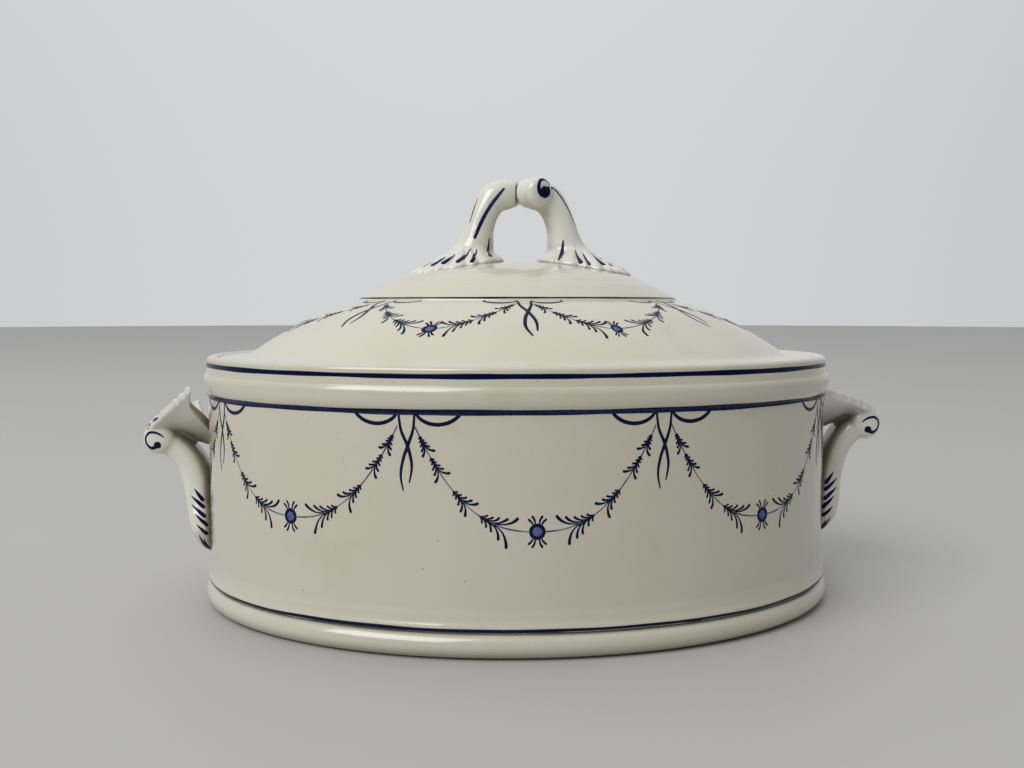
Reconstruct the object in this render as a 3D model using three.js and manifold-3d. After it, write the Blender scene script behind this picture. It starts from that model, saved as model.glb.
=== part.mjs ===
// A covered oval tureen in glazed earthenware: a straight-walled bowl with two scroll handles,
// and a two-tier domed lid that rests on a ledge inside the bowl's lip and lifts off by a
// handle of two leaf-footed branches.
//
// Millimetres, +Z up. The origin is on the table, under the middle of the bowl, and +X runs
// along the oval's long axis.

import * as THREE from 'three';
import { mergeVertices } from 'three/addons/utils/BufferGeometryUtils.js';
import Module from 'manifold-3d';

const wasm = await Module();
wasm.setup();

// ---- driving dimensions ----

const WALL_HALF_LENGTH = 128;
const WALL_HALF_WIDTH = 97.3;
const WALL_THICKNESS = 5;
const BOWL_HEIGHT = 100;
const FOOT_RECESS = 3.4;

const RIM_BULGE = 2;
const RIM_BOTTOM = 87;
const RIM_GROOVE = 97;
const FOOT_BULGE = 2.4;
const FOOT_GROOVE = 9.8;
const FOOT_COVE_TOP = 17.5;

const LIP_INNER = 124.3;
const LEDGE_INNER = 118.4;
const LEDGE_HEIGHT = 96;

const LID_THICKNESS = 4.4;
const LID_APEX = 138;
const TIER_EDGE = 66.8;
const TIER_DROP = 15.4;
const TIER_STEP = 0.8;
const BRIM_INNER = 112;
const BRIM_OUTER = 123.7;
const BRIM_TOP = 100;

// Pieces that touch keep this gap.
const GAP = 0.3;

const RING_SEGMENTS = 48;

// ---- the oval ----

// Every moulding stands out from the wall by the same amount all round, so near the wall the
// half width is the half length less a constant. Further in, the ovals keep one proportion.
const OVAL_DIFFERENCE = WALL_HALF_LENGTH - WALL_HALF_WIDTH;
const INNER_RATIO = 1 - OVAL_DIFFERENCE / (WALL_HALF_LENGTH - 4);

function ovalHalfWidth(halfLength) {
  return Math.max(halfLength - OVAL_DIFFERENCE, halfLength * INNER_RATIO);
}

// ---- helpers ----

// Joins the shared vertices of a geometry and drops the triangles that this closes up.
function weld(geometry) {
  geometry.deleteAttribute('normal');
  geometry.deleteAttribute('uv');
  const welded = mergeVertices(geometry);
  const corners = [];
  for (let i = 0; i < welded.index.count; i += 3) {
    const [a, b, c] = [0, 1, 2].map((k) => welded.index.getX(i + k));
    if (a !== b && b !== c && c !== a) {
      corners.push(a, b, c);
    }
  }
  welded.setIndex(corners);
  return welded;
}

// Moves every point of a closed geometry to where place(point) puts it.
function reshape(geometry, place) {
  const welded = weld(geometry);
  const positions = welded.getAttribute('position');
  const point = new THREE.Vector3();
  for (let i = 0; i < positions.count; i += 1) {
    point.fromBufferAttribute(positions, i);
    place(point);
    positions.setXYZ(i, point.x, point.y, point.z);
  }
  return welded;
}

function toSolid(geometry) {
  return new wasm.Manifold(new wasm.Mesh({
    numProp: 3,
    vertProperties: new Float32Array(geometry.getAttribute('position').array),
    triVerts: new Uint32Array(geometry.index.array),
  }));
}

function toGeometry(solid) {
  const mesh = solid.getMesh();
  const geometry = new THREE.BufferGeometry();
  geometry.setAttribute('position', new THREE.BufferAttribute(mesh.vertProperties, 3));
  geometry.setIndex(new THREE.BufferAttribute(mesh.triVerts, 1));
  return geometry;
}

// Points [half length, height] along an arc of an ellipse, angles in degrees from outwards.
function arc(centre, radii, from, to, steps) {
  return Array.from({ length: steps + 1 }, (_, i) => {
    const angle = THREE.MathUtils.degToRad(from + ((to - from) * i) / steps);
    return [centre[0] + radii[0] * Math.cos(angle), centre[1] + radii[1] * Math.sin(angle)];
  });
}

// Turns a profile of [half length, height] points, from the axis to the axis, into an oval body.
function ovalBody(profile) {
  const points = profile.map(([halfLength, height]) => new THREE.Vector2(halfLength, height));
  const round = new THREE.LatheGeometry(points, RING_SEGMENTS);
  round.rotateX(Math.PI / 2);
  return reshape(round, (point) => {
    const radius = Math.hypot(point.x, point.y);
    if (radius > 0) {
      point.y *= ovalHalfWidth(radius) / radius;
    }
  });
}

// A closed bar through a list of stations. Each has its centre (x, y, z), its half thickness,
// its half width, and the turn of its width away from the Y axis in degrees.
function bar(stations, sides, steps) {
  const curve = (pick) => new THREE.CatmullRomCurve3(stations.map(pick));
  const centres = curve((s) => new THREE.Vector3(s.x, s.y, s.z));
  const sizes = curve((s) => new THREE.Vector3(s.thick, s.wide, s.turn));
  const unit = new THREE.CylinderGeometry(1, 1, 1, sides, steps);
  return reshape(unit, (point) => {
    const t = point.y + 0.5;
    const size = sizes.getPoint(t);
    const turn = THREE.MathUtils.degToRad(size.z);
    const along = centres.getTangent(t);
    const across = new THREE.Vector3(-Math.sin(turn), Math.cos(turn), 0);
    const normal = new THREE.Vector3().crossVectors(along, across).normalize();
    across.crossVectors(normal, along);
    const offset = normal.multiplyScalar(point.x * size.x).addScaledVector(across, point.z * size.y);
    point.copy(centres.getPoint(t)).add(offset);
  });
}

// A roll about the Y axis with softly domed ends.
function roll(radius, halfLength, crown) {
  const flat = halfLength - crown;
  const profile = [
    [0, -halfLength],
    [radius * 0.55, -halfLength + crown * 0.2],
    [radius * 0.88, -halfLength + crown * 0.55],
    [radius, -flat],
    [radius, flat],
    [radius * 0.88, halfLength - crown * 0.55],
    [radius * 0.55, halfLength - crown * 0.2],
    [0, halfLength],
  ];
  return weld(new THREE.LatheGeometry(profile.map(([r, y]) => new THREE.Vector2(r, y)), 16));
}

// ---- the bowl ----

function bowlProfile() {
  const wall = WALL_HALF_LENGTH;
  const inside = wall - WALL_THICKNESS;
  const foot = arc([wall - 3.2, 5], [3.2 + FOOT_BULGE, 5], -90, 62, 6);
  const rimMiddle = (RIM_BOTTOM + RIM_GROOVE) / 2;
  const rimHalf = (RIM_GROOVE - RIM_BOTTOM) / 2;
  const rim = arc([wall, rimMiddle + 0.5], [RIM_BULGE, rimHalf - 0.7], -65, 65, 5);
  const lip = arc([126.3, BOWL_HEIGHT - 1.8], [2, 1.8], 0, 180, 5);
  const floorCorner = arc([inside - 12, 21], [12, 12], 0, -75, 4);
  return [
    [0, FOOT_RECESS],
    [117, FOOT_RECESS],
    [119, 0],
    ...foot,
    [wall + 1, FOOT_GROOVE],
    [wall + 1.5, 11.4],
    [wall + 0.8, 13],
    [wall + 0.3, 14.8],
    [wall, FOOT_COVE_TOP],
    [wall, RIM_BOTTOM],
    ...rim,
    [wall + 0.4, RIM_GROOVE],
    ...lip,
    [LIP_INNER, LEDGE_HEIGHT],
    [LEDGE_INNER, LEDGE_HEIGHT],
    [LEDGE_INNER, 92],
    [inside, 85],
    ...floorCorner,
    [96, 8.6],
    [0, 8.2],
  ];
}

// ---- the lid ----

// Height of the lid's outer face at a point whose oval has this half length.
function lidTop(halfLength) {
  if (halfLength <= TIER_EDGE) {
    return LID_APEX - TIER_DROP * (halfLength / TIER_EDGE) ** 2.9;
  }
  const share = Math.min(1, (halfLength - TIER_EDGE) / (BRIM_INNER - TIER_EDGE));
  const start = LID_APEX - TIER_DROP - TIER_STEP;
  return start - (start - BRIM_TOP) * share ** 1.4;
}

function lidTopAt(x, y) {
  return lidTop(Math.hypot(x, y / INNER_RATIO));
}

const UPPER_TIER = [0, 18, 32, 43, 51, 57, 62, TIER_EDGE];
const LOWER_TIER = [TIER_EDGE + 0.3, 76, 85, 94, 103, BRIM_INNER];

function lidProfile() {
  const top = [...UPPER_TIER, ...LOWER_TIER].map((r) => [r, lidTop(r)]);
  const hollow = [0, 20, 38, 52, 62, 70, 82, 94, 103].map((r) => [r, lidTop(r) - LID_THICKNESS]);
  const brimUnder = LEDGE_HEIGHT + GAP;
  return [
    ...hollow,
    [BRIM_INNER - 2, brimUnder],
    [BRIM_OUTER - 0.8, brimUnder],
    [BRIM_OUTER, brimUnder + 1],
    [BRIM_OUTER, BRIM_TOP - 1.5],
    [BRIM_OUTER - 1.2, BRIM_TOP - 0.5],
    ...top.reverse(),
  ];
}

// ---- a side handle, as it sits on the bowl's +X end ----

// The handles are pressed on by hand, so each sits in its own way: how much higher than usual
// its root and its scroll are, where the tips of its leaf come to, and how far these stand out.
const RIGHT_FIT = { root: 5, scroll: 1.8, wingTip: 86.8, wingOut: -0.6 };
const LEFT_FIT = { root: 0.5, scroll: -2.5, wingTip: 88.5, wingOut: 4.5 };

const SCROLL = { x: 148, z: 68.2, radius: 6.9, halfLength: 11, crown: 2.6 };
const LEAF_BACK = { x: 126, halfWidth: 27, top: 67 };
const LEAF_FRONT = { x: 151.5, halfWidth: 10.2, top: 75.6 };
const LEAF_THICKNESS = 4.6;

const SIDE_LEG = [
  { x: 127, z: 17, thick: 1.6, wide: 5 },
  { x: 129.1, z: 22.5, thick: 4.6, wide: 12.5 },
  { x: 131.2, z: 31, thick: 6, wide: 15 },
  { x: 132.8, z: 40, thick: 6, wide: 12 },
  { x: 134.9, z: 49, thick: 5.4, wide: 9.6 },
  { x: 138, z: 57.8, thick: 5.2, wide: 9 },
  { x: 142.8, z: 64.4, thick: 5.4, wide: 9.2 },
  { x: 147.6, z: 68, thick: 5.4, wide: 9.4 },
].map((station) => ({ ...station, y: 0, turn: 0 }));

// The height of a point of the handle once it is fitted to the bowl.
function fitted(height, fit) {
  const [root, top] = [SIDE_LEG[0].z, SCROLL.z];
  return height + fit.root + ((fit.scroll - fit.root) * (height - root)) / (top - root);
}

// The broad leaf from the wall to the scroll is a channel: its middle dips to the leg and its
// wings rise.
function sideLeaf(fit) {
  return reshape(new THREE.BoxGeometry(1, 2, 1, 6, 10, 1), (point) => {
    const share = point.x + 0.5;
    const side = Math.abs(point.y);
    const back = LEAF_BACK.x + fit.wingOut * side ** 2;
    const halfWidth = LEAF_BACK.halfWidth + (LEAF_FRONT.halfWidth - LEAF_BACK.halfWidth) * share ** 0.8;
    const middle = fitted(LEAF_BACK.top + (LEAF_FRONT.top - LEAF_BACK.top) * share ** 0.8, fit);
    const wingTip = fit.wingTip + (fitted(LEAF_FRONT.top, fit) - fit.wingTip) * share;
    const top = middle + (wingTip - middle) * side ** 1.4;
    const thickness = LEAF_THICKNESS * (1 - 0.35 * side ** 2);
    const height = top - (0.5 - point.z) * thickness;
    point.set(back + (LEAF_FRONT.x - back) * share, halfWidth * point.y, height);
  });
}

function sideHandle(fit) {
  const leg = SIDE_LEG.map((station) => ({ ...station, z: fitted(station.z, fit) }));
  const scroll = roll(SCROLL.radius, SCROLL.halfLength, SCROLL.crown);
  scroll.translate(SCROLL.x, 0, fitted(SCROLL.z, fit));
  const wallFace = ovalBody([
    [0, 0],
    [WALL_HALF_LENGTH + GAP, 0],
    [WALL_HALF_LENGTH + GAP, RIM_BOTTOM],
    [0, RIM_BOTTOM],
  ]);
  return toSolid(bar(leg, 12, 14))
    .add(toSolid(scroll))
    .add(toSolid(sideLeaf(fit)))
    .subtract(toSolid(wallFace));
}

// ---- a branch of the lid's handle, on the +X side ----

const LID_SCROLL = { x: 6.1, y: -4.9, z: 166.7, radius: 6.3, halfLength: 6.4, crown: 2.2, turn: 35 };

const BRANCH = [
  { x: 22, y: 0, z: 136, thick: 9, wide: 11, turn: 0 },
  { x: 19.8, y: 0, z: 144, thick: 6.6, wide: 8.6, turn: 4 },
  { x: 17.5, y: 0.3, z: 152, thick: 5.9, wide: 7.4, turn: 10 },
  { x: 14.3, y: 0.8, z: 159.2, thick: 5.3, wide: 6.6, turn: 20 },
  { x: 9.6, y: 0.8, z: 164.8, thick: 5, wide: 6.2, turn: 30 },
  { x: 4.6, y: -0.6, z: 166.6, thick: 4.6, wide: 5.6, turn: 35 },
];

const FOOT = { x: 23, reach: 19.8, outwards: 3.9, crest: 7, edge: 1.8, lobes: 12, lobeDepth: 0.06 };

// The leaf foot spreads over the lid, longest outwards, with a lobed edge.
function footReach(angle) {
  const oval = FOOT.reach + FOOT.outwards * Math.cos(angle);
  return oval * (1 + FOOT.lobeDepth * Math.cos(FOOT.lobes * angle));
}

function branchFoot() {
  const profile = [
    [0, 0],
    [0.5, 0],
    [1, 0],
    [0.96, FOOT.edge * 0.7],
    [0.72, FOOT.edge + FOOT.crest * 0.1],
    [0.42, FOOT.edge + FOOT.crest * 0.5],
    [0, FOOT.edge + FOOT.crest],
  ].map(([share, height]) => new THREE.Vector2(share, height));
  const round = new THREE.LatheGeometry(profile, 36);
  round.rotateX(Math.PI / 2);
  return reshape(round, (point) => {
    const share = Math.hypot(point.x, point.y);
    const angle = Math.atan2(point.y, point.x);
    const reach = share * footReach(angle);
    const x = FOOT.x + reach * Math.cos(angle);
    const y = reach * Math.sin(angle);
    point.set(x, y, lidTopAt(x, y) + point.z);
  });
}

// The two branches part along an upright plane through the middle, turned a little from X.
function farHalf() {
  const half = new THREE.BoxGeometry(100, 200, 100);
  half.translate(GAP / 2 - 50, 0, 160);
  half.rotateZ(THREE.MathUtils.degToRad(-14));
  return weld(half);
}

function lidBranch() {
  const scroll = roll(LID_SCROLL.radius, LID_SCROLL.halfLength, LID_SCROLL.crown);
  scroll.rotateZ(THREE.MathUtils.degToRad(LID_SCROLL.turn));
  scroll.translate(LID_SCROLL.x, LID_SCROLL.y, LID_SCROLL.z);
  const lidFace = ovalBody([
    [0, 110],
    [TIER_EDGE, 110],
    ...UPPER_TIER.toReversed().map((r) => [r, lidTop(r) + GAP]),
  ]);
  return toSolid(bar(BRANCH, 12, 12))
    .add(toSolid(scroll))
    .add(toSolid(branchFoot()))
    .subtract(toSolid(lidFace))
    .subtract(toSolid(farHalf()));
}

// ---- the assembly ----

function piece(name, geometry, colour) {
  geometry.computeVertexNormals();
  const glaze = new THREE.MeshStandardMaterial({ color: colour, roughness: 0.16, metalness: 0 });
  const mesh = new THREE.Mesh(geometry, glaze);
  mesh.name = name;
  return mesh;
}

// The same piece turned half way round the upright axis.
function turned(mesh) {
  mesh.rotation.z = Math.PI;
  return mesh;
}

const tureen = new THREE.Group();

const bowl = new THREE.Group();
bowl.add(piece('bowl', ovalBody(bowlProfile()), 0xdcd7c4));
bowl.add(piece('side_handle_right', toGeometry(sideHandle(RIGHT_FIT)), 0xdad5c2));
bowl.add(turned(piece('side_handle_left', toGeometry(sideHandle(LEFT_FIT)), 0xdad5c2)));
tureen.add(bowl);

const cover = new THREE.Group();
cover.add(piece('lid', ovalBody(lidProfile()), 0xdad5bf));
cover.add(piece('lid_handle_right_branch', toGeometry(lidBranch()), 0xdedac9));
cover.add(turned(piece('lid_handle_left_branch', toGeometry(lidBranch()), 0xdedac9)));
tureen.add(cover);

export default tureen;
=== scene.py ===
"""The looks of a covered oval tureen: cream-glazed earthenware with blue garlands painted by hand.

Lengths are in millimetres until a mesh is made. +X runs along the oval, the painted front
faces -Y and +Z is up, as in the frame.
"""

import bisect
import math
import random

import bmesh
import bpy
from mathutils import Matrix, Vector
from mathutils.bvhtree import BVHTree


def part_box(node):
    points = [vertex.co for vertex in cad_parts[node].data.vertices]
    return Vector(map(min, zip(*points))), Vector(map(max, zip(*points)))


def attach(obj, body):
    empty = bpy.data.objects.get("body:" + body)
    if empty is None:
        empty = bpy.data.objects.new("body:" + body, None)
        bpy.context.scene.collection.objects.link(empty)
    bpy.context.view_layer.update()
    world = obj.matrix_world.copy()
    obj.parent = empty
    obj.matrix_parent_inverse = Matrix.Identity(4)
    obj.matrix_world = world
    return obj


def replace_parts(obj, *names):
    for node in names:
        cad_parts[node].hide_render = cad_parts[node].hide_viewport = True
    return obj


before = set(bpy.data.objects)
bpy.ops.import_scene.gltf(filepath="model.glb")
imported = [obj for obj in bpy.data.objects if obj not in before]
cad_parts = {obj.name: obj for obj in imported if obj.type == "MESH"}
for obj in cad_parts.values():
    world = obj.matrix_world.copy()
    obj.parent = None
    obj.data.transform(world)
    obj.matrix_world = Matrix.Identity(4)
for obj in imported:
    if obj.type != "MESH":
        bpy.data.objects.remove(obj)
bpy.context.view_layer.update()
random.seed(11)

# ---- sizes, from the frame ----

MM = 0.001


def high_corner(node):
    """The highest corner of a CAD node, in millimetres."""
    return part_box(node)[1] / MM


BOWL = high_corner("bowl")
LID = high_corner("lid")

FOOT_BULGE = 2.4
RIM_BULGE = 2
WALL = BOWL.x - FOOT_BULGE
WALL_THICKNESS = 5
RIM_BOTTOM = 0.85 * BOWL.z
RIM_GROOVE = 0.97 * BOWL.z
FOOT_RECESS = 3.4

# The ledge that the lid sits on: its top, the foot of its inner edge and where it meets the wall.
LEDGE = 0.96 * BOWL.z
LEDGE_EDGE = 92
LEDGE_ROOT = 85

LID_THICKNESS = 4.4
TIER_EDGE = 0.54 * LID.x
TIER_DROP = 15.4
TIER_STEP = 0.8
BRIM_INNER = LID.x - 11.7
BRIM_TOP = BOWL.z

# Mouldings stand out from the wall by the same amount all round, and ovals further in keep one
# proportion.
OVAL_DIFFERENCE = BOWL.x - BOWL.y
INNER_RATIO = 1 - OVAL_DIFFERENCE / (WALL - 4)

# Clay finished by hand: how far a surface may lie inside its true oval.
UNEVENNESS = 0.22


# ---- curves and ovals ----


def arc(centre, radii, start, end, steps=14):
    """Points along an arc of an ellipse, with its angles in degrees from outwards."""
    angles = [math.radians(start + (end - start) * i / steps) for i in range(steps + 1)]
    return [(centre[0] + radii[0] * math.cos(a), centre[1] + radii[1] * math.sin(a)) for a in angles]


def through(stations, t):
    """The point at share t of a smooth curve through the stations, with each span an equal share."""
    points = [Vector(s) for s in stations]
    spans = len(points) - 1
    span = min(int(t * spans), spans - 1)
    u = t * spans - span
    a, b = points[span], points[span + 1]
    before = points[span - 1] if span > 0 else 2 * a - b
    after = points[span + 2] if span + 2 <= spans else 2 * b - a
    linear = b - before
    square = 2 * before - 5 * a + 4 * b - after
    cube = 3 * a - before - 3 * b + after
    return 0.5 * (2 * a + linear * u + square * u**2 + cube * u**3)


def soften(profile, radius):
    """Rounds the corners of a profile, with at most this radius."""
    points = [Vector(p) for p in profile]
    rounded = [points[0]]
    for before, corner, after in zip(points, points[1:], points[2:]):
        back, forward = before - corner, after - corner
        start = corner + back * min(0.45, radius / back.length)
        end = corner + forward * min(0.45, radius / forward.length)
        for u in (0, 0.33, 0.67, 1):
            rounded.append(start * (1 - u) ** 2 + corner * 2 * u * (1 - u) + end * u**2)
    return rounded + [points[-1]]


def spaced(profile, step):
    """The same profile with no two points further apart than the step."""
    points = [profile[0]]
    for a, b in zip(profile, profile[1:]):
        count = max(1, math.ceil((b - a).length / step))
        points += [a.lerp(b, i / count) for i in range(1, count + 1)]
    return points


def half_width(half_length):
    """The half width of the oval that has this half length."""
    return max(half_length - OVAL_DIFFERENCE, half_length * INNER_RATIO)


def on_oval(half_length, angle, height):
    """A point on an oval of the slightly uneven clay."""
    waves = (
        0.5 * math.sin(2 * angle + 0.7)
        + 0.3 * math.sin(5 * angle + height / 24)
        + 0.2 * math.sin(9 * angle - height / 11)
    )
    length = half_length * (1 + UNEVENNESS * (waves - 1) / WALL)
    return Vector((length * math.cos(angle), half_width(length) * math.sin(angle), height))


def angle_table(half_length, steps=1440):
    """Pairs of length round an oval, from the front, and the angle that it reaches."""
    table = [(0.0, -math.pi / 2)]
    before = on_oval(half_length, -math.pi / 2, 0)
    for i in range(1, steps + 1):
        angle = -math.pi / 2 + math.tau * i / steps
        here = on_oval(half_length, angle, 0)
        table.append((table[-1][0] + (here - before).length, angle))
        before = here
    return table


def looked_up(table, value):
    """Straight-line interpolation in a list of (value, result) pairs."""
    i = min(max(bisect.bisect_left(table, (value,)), 1), len(table) - 1)
    (a, low), (b, high) = table[i - 1], table[i]
    return low + (high - low) * (value - a) / ((b - a) or 1)


# ---- meshes and pieces ----


def add_piece(name, points, faces, body, material):
    """A smooth-shaded piece from points in millimetres, riding on a CAD body."""
    mesh = bpy.data.meshes.new(name)
    mesh.from_pydata([p * MM for p in points], [], faces)
    mesh.shade_smooth()
    mesh.materials.append(material)
    piece = bpy.data.objects.new(name, mesh)
    bpy.context.scene.collection.objects.link(piece)
    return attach(piece, body)


def grid_faces(rows, columns, wrap):
    """Faces of a grid of points. With wrap, the last column joins the first."""
    faces = []
    for row in range(rows - 1):
        for column in range(columns if wrap else columns - 1):
            beside = (column + 1) % columns
            low, high = row * columns, (row + 1) * columns
            faces.append((low + column, low + beside, high + beside, high + column))
    return faces


def closed_rings(rings):
    """Points and faces of a closed body through rings of points, each end closed by one face."""
    count = len(rings[0])
    faces = grid_faces(len(rings), count, wrap=True)
    faces.append(tuple(reversed(range(count))))
    last = (len(rings) - 1) * count
    faces.append(tuple(range(last, last + count)))
    return [p for ring in rings for p in ring], faces


def oval_body(profile, around=288):
    """Points and faces of an oval body whose profile starts and ends on the axis."""
    angles = [math.tau * i / around for i in range(around)]
    rings = [[on_oval(r, a, z) for a in angles] for r, z in profile[1:-1]]
    points, faces = closed_rings(rings)
    faces = faces[:-2]
    bottom, top = len(points), len(points) + 1
    points += [Vector((0, 0, profile[0][1])), Vector((0, 0, profile[-1][1]))]
    last = (len(rings) - 1) * around
    for i in range(around):
        beside = (i + 1) % around
        faces.append((bottom, beside, i))
        faces.append((top, last + i, last + beside))
    return points, faces


# ---- the bowl ----


def bowl_outside():
    """From under the foot moulding up the wall and the rim moulding to the top of the lip."""
    foot = arc((WALL - 3.2, 5), (3.2 + FOOT_BULGE, 5), -90, 62)
    rim = arc((WALL, RIM_BOTTOM + 4.9), (RIM_BULGE, 4.9), -88, 0)
    rim += arc((WALL, RIM_BOTTOM + 4.9), (RIM_BULGE, 3.7), 0, 60)[1:]
    lip = arc((WALL - 1.7, BOWL.z - 1.8), (2, 1.8), 0, 90)
    cove = [(WALL + 1, 9.8), (WALL + 1.5, 11.4), (WALL + 0.8, 13), (WALL + 0.3, 14.8), (WALL, 17.5)]
    return foot + cove + [(WALL, RIM_BOTTOM)] + rim + [(WALL + 0.2, RIM_GROOVE)] + lip


def bowl_inside():
    """From the top of the lip over the ledge and down the wall to the middle of the floor."""
    inner = WALL - WALL_THICKNESS
    lip = arc((WALL - 1.7, BOWL.z - 1.8), (2, 1.8), 90, 180)
    ledge = [(WALL - 3.7, LEDGE), (WALL - 9.6, LEDGE), (WALL - 9.6, LEDGE_EDGE), (inner, LEDGE_ROOT)]
    corner = arc((inner - 12, 21), (12, 12), 0, -75)
    return lip[1:] + ledge + corner + [(inner - 27, 8.6), (0, 8.2)]


OUTSIDE = spaced(soften(bowl_outside(), 0.6), 2.5)
OUTSIDE_BY_HEIGHT = [(p.y, p.x) for p in OUTSIDE]
WALL_LENGTHS = angle_table(WALL)


def build_bowl(material):
    inside = spaced(soften(bowl_inside(), 0.8), 4)
    underside = [Vector(p) for p in ((0, FOOT_RECESS), (60, FOOT_RECESS), (WALL - 11, FOOT_RECESS))]
    profile = spaced(soften(underside + [Vector((WALL - 9, 0.3))], 0.8), 4) + OUTSIDE + inside
    points, faces = oval_body([tuple(p) for p in profile])
    piece = add_piece("bowl_body", points, faces, "bowl", material)
    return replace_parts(piece, "bowl")


# ---- the lid ----

# Thin rings that the potter's tool left in the upper tier.
TOOL_RINGS = ((54, 0.22), (44, 0.1), (60.5, 0.08))


def lid_top(half_length):
    """Height of the lid's outer face where its oval has this half length."""
    if half_length <= TIER_EDGE:
        rings = sum(depth * math.exp(-(((half_length - r) / 0.7) ** 2)) for r, depth in TOOL_RINGS)
        return LID.z - TIER_DROP * (half_length / TIER_EDGE) ** 2.9 - rings
    step = TIER_STEP * min(1, (half_length - TIER_EDGE) / 0.5)
    share = min(1, (half_length - TIER_EDGE) / (BRIM_INNER - TIER_EDGE))
    fall = LID.z - TIER_DROP - TIER_STEP - BRIM_TOP
    return LID.z - TIER_DROP - step - fall * share**1.4


def lid_rings():
    """Half lengths of the rings on top of the lid, closest at the step between its two tiers."""
    upper = [0.9 * i for i in range(1, int(TIER_EDGE / 0.9) - 1)]
    close = [TIER_EDGE - 1.5 + 0.15 * i for i in range(20)]
    lower = [TIER_EDGE + 2 + 1.5 * i for i in range(int((BRIM_INNER - TIER_EDGE - 2) / 1.5) + 1)]
    return upper + close + lower


def build_lid(material):
    under = LEDGE + 0.3
    top = [Vector((r, lid_top(r))) for r in lid_rings()]
    inner_rings = [r for r in range(0, 104, 4) if abs(r - TIER_EDGE) > 2]
    hollow = [Vector((r, lid_top(r) - LID_THICKNESS)) for r in inner_rings]
    brim = [
        (BRIM_INNER - 2, under),
        (LID.x - 0.8, under),
        (LID.x, under + 1),
        (LID.x, BRIM_TOP - 1.5),
        (LID.x - 1.2, BRIM_TOP - 0.5),
        (BRIM_INNER + 1, BRIM_TOP - 0.1),
    ]
    edge = soften([hollow[-1], *[Vector(p) for p in brim], top[-1]], 1.2)
    profile = spaced(hollow[:-1] + edge, 3) + top[::-1][1:] + [Vector((0, LID.z))]
    points, faces = oval_body([tuple(p) for p in profile])
    piece = add_piece("lid_body", points, faces, "lid", material)
    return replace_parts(piece, "lid")


# ---- modelled handles ----


def squared(share, power):
    """A sine or cosine pushed outwards, which makes an ellipse squarer."""
    return math.copysign(abs(share) ** power, share)


def bar(stations, power, sides=28, steps=64):
    """Closed rings of a bar. A station is (x, y, z, half thickness, half width, turn in degrees)."""
    centres = [s[:3] for s in stations]
    sizes = [s[3:] for s in stations]
    rings = []
    for i in range(steps + 1):
        t = i / steps
        centre = through(centres, t)
        thick, wide, turn = through(sizes, t)
        along = through(centres, min(1, t + 0.01)) - through(centres, max(0, t - 0.01))
        across = Vector((-math.sin(math.radians(turn)), math.cos(math.radians(turn)), 0))
        normal = along.cross(across).normalized()
        across = normal.cross(along).normalized()
        ring = []
        for k in range(sides):
            angle = math.tau * k / sides
            out, side = squared(math.cos(angle), power), squared(math.sin(angle), power)
            ring.append(centre + normal * thick * out + across * wide * side)
        rings.append(ring)
    return closed_rings(rings)


def roll(centre, radius, half_length, turn=0, valley=0):
    """A roll about the Y axis, turned about Z, with domed ends and a groove round its middle."""
    rings = []
    for i in range(41):
        along = -math.cos(math.pi * (0.02 + 0.96 * i / 40))
        dome = (1 - abs(along) ** 6) ** 0.4
        size = radius * dome - valley * math.exp(-((along / 0.22) ** 2))
        y = half_length * along
        angles = [math.tau * k / 48 for k in range(48)]
        rings.append([Vector((size * math.cos(a), y, size * math.sin(a))) for a in angles])
    points, faces = closed_rings(rings)
    place = Matrix.Translation(centre) @ Matrix.Rotation(math.radians(turn), 4, "Z")
    return [place @ p for p in points], faces


def slab(place, rows, columns):
    """A closed slab. place(u, v, top) gives the point at shares u and v on its top or bottom."""
    rings = []
    for row in range(rows + 1):
        u = row / rows
        upper = [place(u, column / columns, 1) for column in range(columns + 1)]
        lower = [place(u, column / columns, 0) for column in range(columns, -1, -1)]
        rings.append(upper + lower)
    return closed_rings(rings)


def joined(parts):
    """The points and faces of several parts as one list of each."""
    points, faces = [], []
    for part_points, part_faces in parts:
        start = len(points)
        points += part_points
        faces += [tuple(start + i for i in face) for face in part_faces]
    return points, faces


def skinned(part, voxel, rounds):
    """One soft skin round overlapping closed parts, as clay joined with slip."""
    points, faces = part
    mesh = bpy.data.meshes.new("raw_clay")
    mesh.from_pydata([p * MM for p in points], [], faces)
    clay = bpy.data.objects.new("raw_clay", mesh)
    bpy.context.scene.collection.objects.link(clay)
    skin = clay.modifiers.new("skin", "REMESH")
    skin.mode = "VOXEL"
    skin.voxel_size = voxel * MM
    soft = clay.modifiers.new("soft", "SMOOTH")
    soft.factor = 0.5
    soft.iterations = rounds
    ready = clay.evaluated_get(bpy.context.evaluated_depsgraph_get()).to_mesh()
    points = [v.co / MM for v in ready.vertices]
    faces = [tuple(p.vertices) for p in ready.polygons]
    bpy.data.objects.remove(clay)
    bpy.data.meshes.remove(mesh)
    return points, faces


# ---- a side handle, on the +X end ----

SCROLL = {"centre": (148, 0, 68.2), "radius": 6.9, "half_length": 11}

# How each handle sits, pressed on by hand, before the left one is turned round: how much higher than
# usual its root, its scroll and the front of its leaf are, how high the tips of the leaf on the +Y
# and -Y side come and how far off the wall they stand, how deep the lobes of its edge are, and how
# much its leg is thickened inwards.
FITS = {
    "right": {
        "root": 5, "scroll": 1.8, "brow": 1.8, "tips": (88, 88), "off": (0, 0), "lobes": 0.2, "heel": 0,
    },
    "left": {
        "root": 0.5, "scroll": -2.5, "brow": 0, "tips": (90.6, 80), "off": (9.7, 18), "lobes": 0.55,
        "heel": 2.4,
    },
}

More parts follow.
